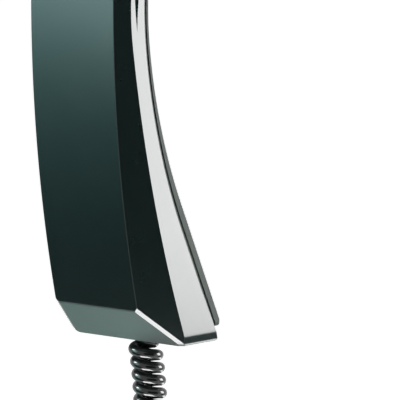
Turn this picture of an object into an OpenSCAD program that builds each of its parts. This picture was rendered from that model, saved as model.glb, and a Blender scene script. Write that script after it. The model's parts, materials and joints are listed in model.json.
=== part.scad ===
// Intercom handset with a curly cord: a moulded two-part housing with a bowed outer face and faceted
// sides, and inside it the receiver, microphone, balance weight, wiring board and cord clamp.
// Millimetres, Z up. X runs across the handset, Y from the outer face to the ear side.
// Sizes are laid out from the middle of the handset; the origin is the mouth of the hanging slot.

/* [Housing] */
// overall length of the housing
length = 212; // [195:1:235]
// width of the flat outer face
face_w = 35; // [31:0.5:38]
// width at the narrowest part of the grip
waist_w = 40.4; // [39:0.2:44]
// width at both ends
end_w = 48.8; // [46:0.2:54]
// radius of the bowed outer face, seen from the side
face_r = 425; // [360:5:600]
// angle between a side facet and the side wall behind it
facet_angle = 28.3; // [24:0.1:34]
// depth of the slanted end faces
slant_depth = 14.9; // [11:0.1:16]
// height of the slanted end faces
slant_rise = 12.1; // [9:0.1:15]
// depth of the chamfers where the slanted ends meet the facets
slant_edge = 0.45; // [0.2:0.05:0.6]
// rounding of the housing's end corners
end_round = 3; // [1:0.5:5]
// depth of the side wall's rear edge at mid length
rim_mid = 11.2; // [10.5:0.1:13]
// radius of the side wall's rear edge round the grip
rim_r = 175; // [150:1:220]
// thickness of the moulded walls
wall = 2.5; // [1.8:0.1:3]

/* [Ear side cover] */
// depth of the cover's outer face at mid length
back_mid = 14.7; // [14.3:0.1:16]
// radius of the cover's hollow round the grip
back_r = 154; // [140:1:190]
// slope of the ear and mouth faces
back_angle = 23.4; // [20:0.1:26]
// faint crease where the hollow of the grip meets the ear and mouth faces
face_crease = 0.5; // [0.3:0.1:1]
// thickness of the cover's plate
cover_t = 2.2; // [1.8:0.1:2.6]
// step from the housing's side to the cover's side
cover_inset = 1.5; // [1:0.1:2]
// distance from the housing's end to the cover's end
cover_end = 4.4; // [4:0.2:7]
// distance from the housing's end to its open back
open_end = 10.5; // [10:0.5:12]
// open seam between cover and housing
seam = 0.5; // [0.3:0.05:0.6]
// depth of the cover's locating skirt inside the housing
skirt_h = 3; // [2:0.25:4]

/* [Hanging slot] */
// distance of the slot's middle from the housing's ear end
hook_end = 55; // [54:0.5:57]
// width of the slot
hook_w = 14; // [10:0.5:18]
// height of the slot
hook_h = 7; // [6:0.5:8]
// depth of the slot
hook_d = 8; // [6:0.5:9]

/* [Receiver] */
// distance of the ear holes' middle from the housing's ear end
ear_end = 30; // [29:0.5:31]
// diameter of the receiver
receiver_d = 31; // [28:0.5:32]
// depth of the receiver's cup
cup_h = 5.5; // [5:0.1:6]
// diameter of the magnet
magnet_d = 12; // [10:0.5:13]
// travel of the cone each way
cone_travel = 0.3; // [0.1:0.05:0.35]
// diameter of an ear hole
ear_hole_d = 2; // [1.4:0.1:2.4]

/* [Microphone] */
// distance of the mouth holes' middle from the housing's mouth end
mouth_end = 29; // [28:0.5:31]
// diameter of the microphone can
mic_d = 9.7; // [8:0.1:10.5]
// depth of the microphone can
mic_h = 5; // [4:0.1:5.5]
// diameter of a mouth hole
mouth_hole_d = 1.6; // [1:0.1:2]

/* [Fittings] */
// distance of the cover screws from the housing's ends
screw_end = 75; // [72:0.5:77]
// diameter of the cover screws
screw_d = 2.9; // [2.5:0.1:3.5]
// space between the balance weight and the screw bosses
weight_room = 6.7; // [5:0.1:9]
// width of the balance weight
weight_w = 25; // [20:0.5:27]
// thickness of the balance weight
weight_t = 6; // [4:0.25:6.5]
// width of the wiring board
board_w = 22; // [20:0.5:24]
// height of the wiring board
board_h = 24; // [22:0.5:26]

/* [Cord] */
// diameter of the cord
cord_d = 3.6; // [3:0.1:3.7]
// mean radius of the curls
curl_r = 3.75; // [3.4:0.05:4.5]
// rise of one curl
curl_pitch = 4.1; // [4.1:0.05:5]
// curls in the cord
curls = 30; // [10:1:32]
// straight end of the cord above the plug
tail_l = 20; // [10:1:30]
// distance from the housing's rear corner forward to the cord
cord_in = 9.1; // [8.5:0.1:10]

/* [Plug] */
// width of the plug
plug_w = 7.65; // [7:0.05:9.6]
// thickness of the plug
plug_t = 6.5; // [6:0.1:7]
// length of the plug
plug_l = 13; // [11:0.5:15]
// angle of the plug's latch to the plug
latch_angle = 9; // [6:0.5:12]

/* [Hidden] */
$fn = 64;
fit = 0.3;
shaft_gap = 0.05;
half_l = length / 2;
ear_z = half_l - ear_end;
mouth_z = half_l - mouth_end;
hook_z = half_l - hook_end;
screw_z = half_l - screw_end;
flare = (end_w - waist_w) / length;
waist_r = 300;
slant_z = half_l - slant_rise;
slant_y = face_r - sqrt(face_r * face_r - slant_z * slant_z);
slant_slope = slant_rise / slant_depth;
cover_z = half_l - cover_end;
open_z = half_l - open_end;
open_round = 4;
far = 90;
beyond = 1.6 * far;
hair = 0.02;

// depth of a profile that is an arc round mid length and a straight line beyond it
function bow(z, mid, r, angle, crease = 0) =
    let (turn = angle + crease, zt = r * sin(turn), a = abs(z))
    a < zt ? mid + r - sqrt(r * r - a * a) : mid + r * (1 - cos(turn)) + (a - zt) * tan(angle);
function front_y(z) = face_r - sqrt(face_r * face_r - z * z);
function rim_y(z) = bow(z, rim_mid, rim_r, back_angle, face_crease);
function back_y(z) = bow(z, back_mid, back_r, back_angle, face_crease);
function half_w(z) = bow(z, waist_w / 2, waist_r, atan(flare));
function crease_y(z) = front_y(z) + (half_w(z) - face_w / 2) / tan(facet_angle);
hook_y = back_y(hook_z);
cord_y = rim_y(half_l) - cord_in;

// moves the layout so that the hanging slot's mouth is the origin
module place() {
    translate([0, -hook_y, -hook_z]) children();
}

// extrudes an X and Z outline along Y
module along_y(y0, y1) {
    translate([0, y1, 0]) rotate([90, 0, 0]) linear_extrude(y1 - y0) children();
}

// extrudes a Y and Z outline along X, centred
module along_x(w) {
    translate([-w / 2, 0, 0]) rotate([90, 0, 90]) linear_extrude(w) children();
}

// straight rod along Y from y0 to y1
module rod_y(x, z, y0, y1, r) {
    translate([x, y1, z]) rotate([90, 0, 0]) cylinder(h = y1 - y0, r = r);
}

// everything behind a bowed profile, as a Y and Z outline
module behind(mid, r) {
    zt = r * sin(back_angle + face_crease);
    yt = mid + r * (1 - cos(back_angle + face_crease));
    ye = yt + (beyond - zt) * tan(back_angle);
    z0 = r * sin(back_angle);
    y0 = yt - (zt - z0) * tan(back_angle);
    translate([mid + r, 0]) circle(r, $fn = 256);
    polygon([[y0, z0], [ye, beyond], [3 * far, beyond], [3 * far, -beyond], [ye, -beyond], [y0, -z0]]);
}

// outline of the housing seen from the front, set in by a margin
module outline(inset, end, r) {
    side = [for (i = [-4 : 4]) let (z = i * waist_r * sin(atan(flare)) / 4) [half_w(z) - inset, z]];
    tip_w = half_w(end) - inset;
    top = [for (a = [0 : 15 : 90]) [tip_w - r + r * cos(a), end - r + r * sin(a)]];
    right = concat([for (i = [len(top) - 1 : -1 : 0]) [top[i][0], -top[i][1]]], side, top);
    left = [for (i = [len(right) - 1 : -1 : 0]) [-right[i][0], right[i][1]]];
    polygon(concat(right, left));
}

// side outline between the two slanted ends, set in by a margin
module ends(inset) {
    shift = inset * sqrt(1 + slant_slope * slant_slope);
    z_front = slant_z - (slant_y + far / 2) * slant_slope - shift;
    y_flat = slant_y + slant_depth - inset / slant_slope + shift / slant_slope;
    polygon([[-far / 2, z_front], [y_flat, half_l - inset], [2 * far, half_l - inset],
        [2 * far, inset - half_l], [y_flat, inset - half_l], [-far / 2, -z_front]]);
}

// bowed outer face and both side facets, set in by a margin
module faces(inset) {
    depth = 60;
    sweep = 44;
    tilt = tan(facet_angle);
    shift = inset / cos(facet_angle);
    w0 = face_w / 2 + inset * tilt - shift;
    w1 = face_w / 2 + depth * tilt - shift;
    translate([0, face_r, 0]) rotate([90, 0, -90]) rotate([0, 0, -sweep / 2]) rotate_extrude(angle = sweep)
        polygon([[face_r - inset, -w0], [face_r - inset, w0], [face_r - depth, w1], [face_r - depth, -w1]]);
}

// solid form of the housing up to its rim, set in by a margin
module body_form(inset) {
    intersection() {
        faces(inset);
        along_y(-far / 2, far) outline(inset, half_l - inset, end_round);
        along_x(2 * far) difference() {
            ends(inset);
            behind(rim_mid, rim_r);
        }
    }
}

// room inside the housing: closed behind the ends, open towards the cover
module cavity() {
    intersection() {
        faces(wall);
        along_x(2 * far) ends(wall);
        union() {
            intersection() {
                along_y(-far / 2, far) outline(wall, half_l - wall, 1);
                along_x(2 * far) difference() {
                    translate([-far / 2, -2 * far]) square([2 * far, 4 * far]);
                    behind(rim_mid - wall, rim_r + wall);
                }
            }
            along_y(0, far) outline(wall, open_z, open_round);
        }
    }
}

// places a piece on the ear face or the mouth face, with Z pointing out of the face
module at_ear() {
    translate([0, back_y(ear_z), ear_z]) rotate([-90 - back_angle, 0, 0]) children();
}
module at_mouth() {
    translate([0, back_y(mouth_z), -mouth_z]) rotate([back_angle - 90, 0, 0]) children();
}

// skin over rings of points, closed at both ends
module skin(rings) {
    n = len(rings[0]);
    m = len(rings);
    points = [for (ring = rings) each ring];
    sides = [for (i = [0 : m - 2]) for (j = [0 : n - 1]) let (a = i * n + j, b = i * n + (j + 1) % n)
        each [[a, b, a + n], [b, b + n, a + n]]];
    caps = [for (j = [1 : n - 2]) each [[0, j + 1, j], [(m - 1) * n, (m - 1) * n + j, (m - 1) * n + j + 1]]];
    polyhedron(points = points, faces = concat(sides, caps));
}

function unit(v) = v / norm(v);
function ahead(path, i) = unit(path[min(i + 1, len(path) - 1)] - path[max(i - 1, 0)]);
// ring of n points round a path point, turned so that its first point lies towards a guide direction
function ring(centre, along, guide, r, n) =
    let (u = unit(guide - (guide * along) * along), v = cross(u, along))
    [for (k = [0 : n - 1]) centre + r * cos(360 * k / n) * u + r * sin(360 * k / n) * v];
// smooth curve through round points
function curve(p, steps) = concat([for (i = [0 : len(p) - 2]) for (s = [0 : steps - 1])
    let (a = p[max(i - 1, 0)], b = p[i], c = p[i + 1], d = p[min(i + 2, len(p) - 1)], t = s / steps)
    b + (c - a) * t / 2 + (2 * a - 5 * b + 4 * c - d) * t * t / 2 + (3 * b - a - 3 * c + d) * t * t * t / 2],
    [p[len(p) - 1]]);
module tube(path, r, n, guide) {
    skin([for (i = [0 : len(path) - 1]) ring(path[i], ahead(path, i), guide, r, n)]);
}

// Housing

// tapered facet cut into each side wall of the grip, from its tip below mid length up
notch_tip = -7;
notch_top = hook_z + 5;
notch_w = 2.8;
notch_taper = 17;
notch_fade = 12;
notch_step = 3.5;
function notch_at(z) =
    max(hair, notch_w * min(1, (z - notch_tip) / notch_taper, (notch_top - z) / notch_fade));
module side_notches() {
    rings = [for (z = [notch_tip : notch_step : notch_top])
        let (w = notch_at(z), x = half_w(z), y = (crease_y(z) + rim_y(z)) / 2 + w / 2)
        [[x + 1, y + tan(90 - facet_angle), z], [x - w * tan(facet_angle), y - w, z], [x + 1, y - w, z]]];
    skin(rings);
    mirror([1, 0, 0]) skin(rings);
}

// chamfer where the slanted ear end meets the right facet, square to the edge between them
module slant_chamfer() {
    lean = asin(slant_z / face_r);
    slant = unit([0, -slant_rise, slant_depth]);
    facet = [cos(facet_angle), -sin(facet_angle) * cos(lean), sin(facet_angle) * sin(lean)];
    n = unit(slant + facet);
    translate([face_w / 2, slant_y, slant_z]) rotate([0, acos(n[2]), atan2(n[1], n[0])])
        translate([-far / 2, -far / 2, -slant_edge]) cube([far, far, far / 2]);
}
module slant_chamfers() {
    slant_chamfer();
    mirror([1, 0, 0]) slant_chamfer();
    mirror([0, 0, 1]) slant_chamfer();
    mirror([1, 0, 0]) mirror([0, 0, 1]) slant_chamfer();
}

cover_boss_h = 5;
boss_r = screw_d / 2 + 1.85;
head_r = screw_d * 0.95;
head_h = 1.9;
head_sunk = 2.7;
cover_screw_l = 9;
boss_top = back_y(screw_z) - cover_boss_h - fit;
board_end = 53;
board_room = 1.5;
board_t = 1.6;
board_mid = board_end - half_l;
board_y = front_y(board_mid - board_h / 2) + wall + board_room;
board_fix = [[-8, 8], [8, -8]];
small_screw_d = 2;
small_head_r = 1.9;
small_head_h = 1.3;
small_hole = 0.1;
post_r = small_screw_d / 2 + 1.4;
post_floor = 0.5;
clamp_end = 35;
lead_room = 7;
clamp_mid = clamp_end - half_l;
lead_y = front_y(clamp_mid) + wall + lead_room;
clamp_reach = 7;
clamp_h = 6;
clamp_t = 3;
clamp_side = 3;
clamp_block_w = 8;
weight_l = 2 * (screw_z - boss_r - weight_room);
weight_y = front_y(weight_l / 2) + wall + fit;
rib_t = 1.6;
grommet_r = 4.6;
grommet_h = 3.5;
grommet_gap = 0.1;
grommet_wall = 1.4;
seat_z = -half_l + cord_d + fit;
cord_hole_r = cord_d / 2 + 1.4;
screen_t = 0.3;
gasket_t = 1.5;
cup_back = cover_t + screen_t + gasket_t + cup_h;
cup_post_r = 1.8;
cup_post_in = 2.4;

module outer_shell() {
    color([0.02, 0.03, 0.032]) place() difference() {
        union() {
            difference() {
                body_form(0);
                cavity();
            }
            intersection() {
                body_form(wall / 2);
                shell_inner_form();
            }
        }
        for (s = [-1, 1]) rod_y(0, s * screw_z, front_y(screw_z) + wall, far / 2, screw_d / 2 + shaft_gap);
        for (p = board_fix) rod_y(p[0], board_mid + p[1], front_y(board_mid) + wall + post_floor, board_y + 1,
            small_screw_d / 2 + shaft_gap);
        for (s = [-1, 1]) rod_y(s * clamp_reach, clamp_mid, front_y(clamp_mid) + wall + post_floor, lead_y,
            small_screw_d / 2 + shaft_gap);
        translate([0, lead_y, clamp_mid - clamp_h]) cylinder(h = 2 * clamp_h, r = cord_d / 2 + shaft_gap);
        translate([0, cord_y, -half_l - 1]) cylinder(h = far / 2, r = cord_hole_r);
        translate([0, cord_y, seat_z]) cylinder(h = far / 2, r = grommet_r + grommet_gap);
        side_notches();
        slant_chamfers();
    }
}

// bosses, posts and ribs that stand on the housing's inner walls
module shell_inner_form() {
    side_rib_h = 6;
    side_rib_t = wire_way - weight_w / 2 - 2 * fit;
    rib_top = weight_y + weight_t * 0.6;
    for (s = [-1, 1]) {
        rod_y(0, s * screw_z, 0, boss_top, boss_r);
        rod_y(s * clamp_reach, clamp_mid, 0, lead_y - fit, post_r);
        for (e = [-1, 1]) {
            translate([s * weight_w / 4 - rib_t / 2, 0, e * (weight_l / 2 + rib_t / 2 + fit) - rib_t / 2])
                cube([rib_t, rib_top, rib_t]);
            translate([s * (weight_w / 2 + fit + side_rib_t / 2), rib_top / 2, e * weight_l / 4])
                cube([side_rib_t, rib_top, side_rib_h], center = true);
        }
    }
    for (p = board_fix) rod_y(p[0], board_mid + p[1], 0, board_y, post_r);
    for (e = [-1, 1]) translate([-weight_w / 4, 0, e * weight_l / 4 - rib_t / 2])
        cube([weight_w / 2, weight_y, rib_t]);
    translate([-clamp_block_w / 2, 0, clamp_mid - clamp_h / 2])
        cube([clamp_block_w, lead_y - fit, clamp_h]);
    translate([0, cord_y, -half_l]) cylinder(h = grommet_h + cord_d, r = grommet_r + grommet_wall);
    at_ear() for (a = [45 : 90 : 315]) rotate([0, 0, a])
        translate([receiver_d / 2 - cup_post_in, 0, -far / 2])
            cylinder(h = far / 2 - cup_back - fit, r = cup_post_r);
}

// Ear side cover

cover_round = 1.5;
skirt_t = 1.2;
ear_spacing = 4.2;
mouth_spacing = 2.9;
dish_r = 11;
dish_d = 0.8;
dish_slope = 4;
screw_clear = 0.2;
collar_t = 1.4;
ear_collar_h = 5;
mouth_collar_h = 4;
boot_t = 1.5;
boot_r = mic_d / 2 + boot_t;

module cover_shell(inset, low, top) {
    end = cover_z - (inset - cover_inset);
    intersection() {
        along_y(-far / 2, far) outline(inset, end, cover_round);
        along_x(2 * far) difference() {
            behind(rim_mid + low, rim_r - low);
            behind(back_mid - top, back_r + top);
            for (s = [-1, 1]) cover_end_slope(s, end, top);
        }
    }
}

// slope that takes the cover's outer edge off at one end, drawn on past the edge that it cuts
module cover_end_slope(s, end, top) {
    run = 1.2;
    past = 1.4;
    y = back_y(end) - top;
    low = y - run;
    edge = back_y(end - run) - top;
    polygon([[low, s * (end + hair)], [y + run, s * (end + hair)], [y + run, s * (end - 2 * run)],
        [low + past * (edge - low), s * (end - past * run)]]);
}

// shadow line round the cover's side
module cover_groove() {
    low = 1.8;
    high = 2.4;
    deep = 0.5;
    intersection() {
        along_x(2 * far) difference() {
            behind(rim_mid + low, rim_r - low);
            behind(rim_mid + high, rim_r - high);
        }
        along_y(-far / 2, far) difference() {
            outline(cover_inset - 1, cover_z + 1, cover_round + 1);
            outline(cover_inset + deep, cover_z - deep, cover_round - deep);
        }
    }
}

module cover_skirt() {
    overlap = 2;
    intersection() {
        along_x(2 * far) difference() {
            behind(rim_mid - skirt_h, rim_r + skirt_h);
            behind(rim_mid + overlap, rim_r - overlap);
        }
        along_y(-far / 2, far) difference() {
            outline(wall + fit, open_z - fit, open_round - fit);
            outline(wall + fit + skirt_t, open_z - fit - skirt_t, open_round - fit - skirt_t);
        }
    }
}

module inner_cover() {
    color([0.03, 0.04, 0.04]) place() difference() {
        union() {
            difference() {
                cover_shell(cover_inset, seam, 0);
                cover_shell(cover_inset + cover_t, -1, cover_t);
            }
            cover_skirt();
            intersection() {
                cover_inner_form();
                along_x(2 * far) difference() {
                    translate([0, -far]) square([far, 2 * far]);
                    behind(back_mid - fit, back_r + fit);
                }
            }
        }
        cover_groove();
        translate([-hook_w / 2, hook_y - hook_d, hook_z - hook_h / 2]) cube([hook_w, far / 2, hook_h]);
        translate([0, cord_y, -half_l]) cylinder(h = 2 * open_end, r = cord_hole_r);
        for (s = [-1, 1]) {
            rod_y(0, s * screw_z, 0, far / 2, screw_d / 2 + screw_clear);
            rod_y(0, s * screw_z, back_y(screw_z) - head_sunk, far / 2, head_r + screw_clear);
        }
        at_ear() {
            for (ring_no = [0 : 2]) for (k = [0 : max(0, 6 * ring_no - 1)])
                rotate([0, 0, ring_no == 0 ? 0 : k * 60 / ring_no])
                    translate([ring_no * ear_spacing, 0, -far / 4])
                        cylinder(h = far / 2, r = ear_hole_d / 2, $fn = 24);
            translate([0, 0, -dish_d])
                cylinder(h = 2 * dish_d, r1 = dish_r, r2 = dish_r + 2 * dish_d * dish_slope);
        }
        at_mouth() {
            for (a = [0 : 60 : 300]) rotate([0, 0, a]) translate([mouth_spacing, 0, -far / 4])
                cylinder(h = far / 2, r = mouth_hole_d / 2, $fn = 24);
            translate([0, 0, -far / 4]) cylinder(h = far / 2, r = mouth_hole_d / 2, $fn = 24);
        }
    }
}

// round collar that stands inwards from the middle of the cover's plate
module collar(h, hole) {
    difference() {
        translate([0, 0, -cover_t - h]) cylinder(h = h + cover_t / 2, r = hole + collar_t);
        translate([0, 0, -cover_t - far / 2]) cylinder(h = far / 2, r = hole);
    }
}

// collars, slot pocket and screw bosses on the inside of the cover
module cover_inner_form() {
    pocket_t = 1.6;
    translate([-hook_w / 2 - pocket_t, hook_y - hook_d - pocket_t, hook_z - hook_h / 2 - pocket_t])
        cube([hook_w + 2 * pocket_t, far / 2, hook_h + 2 * pocket_t]);
    for (s = [-1, 1]) rod_y(0, s * screw_z, back_y(screw_z) - cover_boss_h, far / 2, head_r + pocket_t);
    at_ear() collar(ear_collar_h, receiver_d / 2 + fit);
    at_mouth() collar(mouth_collar_h, boot_r + grommet_gap);
}

// Receiver, laid out from the ear face inwards

cup_top = cup_h - cup_back;
cup_wall = 1.7;
cup_floor = 1.5;
cup_hole_r = 0.8;
gasket_w = 2.8;
gasket_gap = 0.2;
yoke_wall = 1.4;
gap_r = magnet_d / 2 + 1.6;
yoke_r = gap_r + yoke_wall;
pole_bore_r = 1;
plate_top = cup_top - cup_h + cup_floor;
pole_h = 1.3;
magnet_h = 2.6;
yoke_floor = 1.2;

module ring_z(top, h, r, hole) {
    translate([0, 0, top - h]) difference() {
        cylinder(h = h, r = r);
        translate([0, 0, -1]) cylinder(h = h + 2, r = hole);
    }
}

module receiver_screen() {
    color([0.05, 0.05, 0.05]) place() at_ear() translate([0, 0, -cover_t - screen_t])
        cylinder(h = screen_t - shaft_gap, r = receiver_d / 2 - gasket_gap);
}

module receiver_gasket() {
    r = receiver_d / 2 - gasket_gap;
    color([0.08, 0.08, 0.08]) place() at_ear() ring_z(-cover_t - screen_t, gasket_t, r, r - gasket_w);
}

module receiver_cup() {
    color([0.06, 0.06, 0.065]) place() at_ear() difference() {
        translate([0, 0, cup_top - cup_h]) cylinder(h = cup_h, r = receiver_d / 2);
        translate([0, 0, plate_top]) cylinder(h = far, r = receiver_d / 2 - cup_wall);
        translate([0, 0, cup_top - far / 2]) cylinder(h = far, r = yoke_r + shaft_gap);
        for (a = [30 : 60 : 330]) rotate([0, 0, a])
            translate([(yoke_r + receiver_d / 2 - cup_wall) / 2, 0, cup_top - far / 2])
                cylinder(h = far, r = cup_hole_r, $fn = 24);
    }
}

module receiver_yoke() {
    pot_h = pole_h + magnet_h + yoke_floor;
    color([0.5, 0.5, 0.5]) place() at_ear() difference() {
        translate([0, 0, plate_top - pot_h]) cylinder(h = pot_h, r = yoke_r);
        translate([0, 0, plate_top - pole_h - magnet_h]) cylinder(h = far, r = gap_r);
    }
}

module receiver_magnet() {
    color([0.2, 0.2, 0.22]) place() at_ear() ring_z(plate_top - pole_h, magnet_h, magnet_d / 2, pole_bore_r);
}

module receiver_pole() {
    color([0.55, 0.55, 0.55]) place() at_ear() ring_z(plate_top, pole_h, magnet_d / 2, pole_bore_r);
}

coil_mid_r = (magnet_d / 2 + gap_r) / 2;
coil_t = 0.7;
coil_h = 3.2;
cone_t = 0.3;
coil_top = plate_top + 2 * cone_travel + fit;

module receiver_coil() {
    color([0.6, 0.3, 0.12]) place() at_ear()
        ring_z(coil_top, coil_h, coil_mid_r + coil_t / 2, coil_mid_r - coil_t / 2);
}

// thin cone of revolution: domed middle, fold at the coil and flat edge
module receiver_cone() {
    edge_r = receiver_d / 2 - cup_wall - fit;
    dome = 1.1;
    fold = 0.8 * dome;
    seat = coil_t * 0.7;
    outer = [[0, dome], [coil_mid_r / 2, 0.75 * dome], [coil_mid_r - seat, 0], [coil_mid_r + seat, 0],
        [coil_mid_r + 2 * fold, fold], [edge_r - 2 * fold, fold], [edge_r, fit]];
    inner = [for (i = [len(outer) - 1 : -1 : 0]) outer[i] + [0, cone_t]];
    color([0.75, 0.72, 0.62]) place() at_ear() translate([0, 0, coil_top])
        rotate_extrude() polygon(concat(outer, inner));
}

// Microphone, laid out from the mouth face inwards

boot_lip = 0.8;
boot_lip_w = 0.9;
port_r = 1;
crimp_w = 0.6;
crimp_d = 0.5;

module microphone_boot() {
    color([0.04, 0.04, 0.04]) place() at_mouth() translate([0, 0, -cover_t - mic_h - boot_lip]) difference() {
        cylinder(h = mic_h + boot_lip, r = boot_r);
        translate([0, 0, -1]) cylinder(h = mic_h + 1, r = mic_d / 2 + shaft_gap);
        cylinder(h = far, r = mic_d / 2 - boot_lip_w);
    }
}

module microphone_can() {
    color([0.7, 0.7, 0.7]) place() at_mouth() translate([0, 0, -cover_t - boot_lip - mic_h]) difference() {
        cylinder(h = mic_h, r = mic_d / 2);
        translate([0, 0, mic_h - crimp_d]) cylinder(h = 1, r = port_r);
        translate([0, 0, -hair]) cylinder(h = crimp_d, r = mic_d / 2 - crimp_w);
    }
}

// Fittings

module balance_weight() {
    chamfer = 3;
    color([0.4, 0.4, 0.4]) place() difference() {
        translate([-weight_w / 2, weight_y, -weight_l / 2]) cube([weight_w, weight_t, weight_l]);
        for (s = [-1, 1]) for (e = [-1, 1]) translate([s * weight_w / 2, 0, e * weight_l / 2])
            rotate([0, 45, 0]) translate([-chamfer / 2, 0, -chamfer / 2]) cube([chamfer, far, chamfer]);
    }
}

// pan head screw along Y with a cross recess; seat is where its head sits
module pan_screw(x, z, seat, d, shank, hr, hh) {
    recess = 0.24 * d;
    difference() {
        union() {
            rod_y(x, z, seat - shank, seat + hh / 2, d / 2);
            rod_y(x, z, seat, seat + hh, hr);
        }
        translate([x - hr, seat + hh / 2, z - recess / 2]) cube([2 * hr, hh, recess]);
        translate([x - recess / 2, seat + hh / 2, z - hr]) cube([recess, hh, 2 * hr]);
    }
}

module cover_screws() {
    color([0.6, 0.6, 0.6]) place() for (s = [-1, 1])
        pan_screw(0, s * screw_z, back_y(screw_z) - head_sunk, screw_d, cover_screw_l, head_r, head_h);
}

module wiring_board() {
    color([0.05, 0.25, 0.1]) place() difference() {
        translate([-board_w / 2, board_y, board_mid - board_h / 2]) cube([board_w, board_t, board_h]);
        for (p = board_fix) rod_y(p[0], board_mid + p[1], 0, far, small_screw_d / 2 + small_hole);
    }
}

module board_screws() {
    seat = board_y + board_t;
    shank = seat - front_y(board_mid) - wall - post_floor - fit;
    color([0.65, 0.65, 0.65]) place() for (p = board_fix)
        pan_screw(p[0], board_mid + p[1], seat, small_screw_d, shank, small_head_r, small_head_h);
}

block_w = 14;
block_h = 6;
block_t = 6;
ways = [-5.1, -1.7, 1.7, 5.1];
block_y = board_y + board_t;
block_mid = board_mid + 2;
way_y = block_y + 2;
way_w = 1.8;
way_d = 1.4;
way_screw_r = 1.2;
way_screw_d = 2;

module terminal_block() {
    color([0.12, 0.35, 0.25]) place() difference() {
        translate([-block_w / 2, block_y, block_mid - block_h / 2]) cube([block_w, block_t, block_h]);
        for (x = ways) {
            rod_y(x, block_mid, block_y + block_t - way_screw_d, far, way_screw_r);
            for (s = [-1, 1]) translate([x, way_y, block_mid + s * block_h / 2])
                cube([way_w, way_w, 2 * way_d], center = true);
        }
    }
}

module cord_clamp() {
    color([0.1, 0.1, 0.1]) place() difference() {
        translate([-clamp_reach - clamp_side, lead_y, clamp_mid - clamp_h / 2])
            cube([2 * (clamp_reach + clamp_side), clamp_t, clamp_h]);
        translate([0, lead_y, clamp_mid - far / 2]) cylinder(h = far, r = cord_d / 2 + shaft_gap);
        for (s = [-1, 1]) rod_y(s * clamp_reach, clamp_mid, 0, far, small_screw_d / 2 + small_hole);
    }
}

module clamp_screws() {
    seat = lead_y + clamp_t;
    shank = 7;
    color([0.65, 0.65, 0.65]) place() for (s = [-1, 1])
        pan_screw(s * clamp_reach, clamp_mid, seat, small_screw_d, shank, small_head_r, small_head_h);
}

// Cord and wires

module cord_grommet() {
    color([0.02, 0.02, 0.02]) place() translate([0, cord_y, seat_z]) difference() {
        cylinder(h = grommet_h, r = grommet_r);
        translate([0, 0, -1]) cylinder(h = far, r = cord_d / 2 + shaft_gap);
    }
}

// the cord inside the housing, from the grommet to the end of its jacket
lead_end = clamp_mid + clamp_h;
function smooth(t) = t * t * (3 - 2 * t);
bend_low = seat_z + grommet_h + cord_d / 4;
bend_top = clamp_mid - clamp_h / 2 - fit;
lead_path = concat([[0, cord_y, seat_z]],
    [for (t = [0 : 0.125 : 1])
        [0, cord_y + (lead_y - cord_y) * smooth(t), bend_low + (bend_top - bend_low) * t]],
    [[0, lead_y, lead_end]]);

module cord_lead() {
    color([0.02, 0.02, 0.02]) place() tube(lead_path, cord_d / 2, 8, [1, 0, 0]);
}

wire_r = 0.55;
wire_gap = 0.3;
// the receiver's wires lie between the weight's side ribs and the cover's skirt
wire_room = 0.4;
wire_way = waist_w / 2 - wall - fit - skirt_t - wire_room - 2 * wire_r;
// points behind the microphone and behind the ear face, at a depth below the face
function mouth_at(x, deep) =
    [x, back_y(mouth_z) - deep * cos(back_angle), -mouth_z - deep * sin(back_angle)];
function ear_at(x, deep) =
    [x, back_y(ear_z) - deep * cos(back_angle), ear_z + deep * sin(back_angle)];

module wire(points, r) {
    tube(curve(points, 3), r, 6, [1, 0, 0]);
}

module lead_wires() {
    core_r = 0.8 * wire_r;
    end = lead_end + wire_gap;
    in_z = block_mid - block_h / 2;
    color([0.6, 0.15, 0.1]) place() for (i = [0 : 3])
        let (x = (i - 1.5) * 1.4 * core_r, y = lead_y + (i % 2 - 0.5) * 2.6 * core_r)
        wire([[x, y, end], [x, y, end + 2 * core_r], [(x + ways[i]) / 2, (y + way_y) / 2, (end + in_z) / 2],
            [ways[i], way_y, in_z - 2 * core_r], [ways[i], way_y, in_z + way_d - wire_gap]], core_r);
}

module receiver_wires() {
    side_x = wire_way + wire_r;
    end_x = (yoke_r + receiver_d / 2 - cup_wall) / 2 - 2 * wire_r;
    out_z = block_mid + block_h / 2;
    board_top = board_mid + board_h / 2;
    color([0.7, 0.6, 0.1]) place() for (i = [0, 1])
        let (x = ways[2 + i], apart = 4 * wire_r * i, y = weight_y + weight_t / 2 + apart)
        wire([[x, way_y, out_z - way_d + wire_gap], [x, way_y, out_z + 2 * wire_r],
            [(x + side_x) / 2, way_y + wire_r, board_top + 4 * wire_r], [side_x, y, -screw_z],
            [side_x, y, 0], [side_x, y, screw_z], [side_x, y + 6 * wire_r, hook_z],
            ear_at(end_x + 4 * wire_r + apart, cup_back + 8 * wire_r),
            ear_at(end_x + apart, cup_back + 3 * wire_r),
            ear_at(end_x + apart, cup_back + wire_gap)], wire_r);
}

module microphone_wires() {
    top = block_y + block_t;
    deep = cover_t + boot_lip + mic_h - crimp_d;
    color([0.15, 0.2, 0.6]) place() for (s = [-1, 1]) let (x = s * ways[3], end_x = s * 3 * wire_r)
        wire([[x, top - way_screw_d + wire_gap, block_mid], [x, top + 2 * wire_r, block_mid],
            [0.8 * x, top + 7 * wire_r, (block_mid + clamp_mid) / 2],
            [1.4 * end_x, lead_y + clamp_t + small_head_h + 4 * wire_r, clamp_mid],
            mouth_at(end_x, deep + 8 * wire_r), mouth_at(end_x, deep + 3 * wire_r),
            mouth_at(end_x, deep + wire_gap)], wire_r);
}

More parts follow.
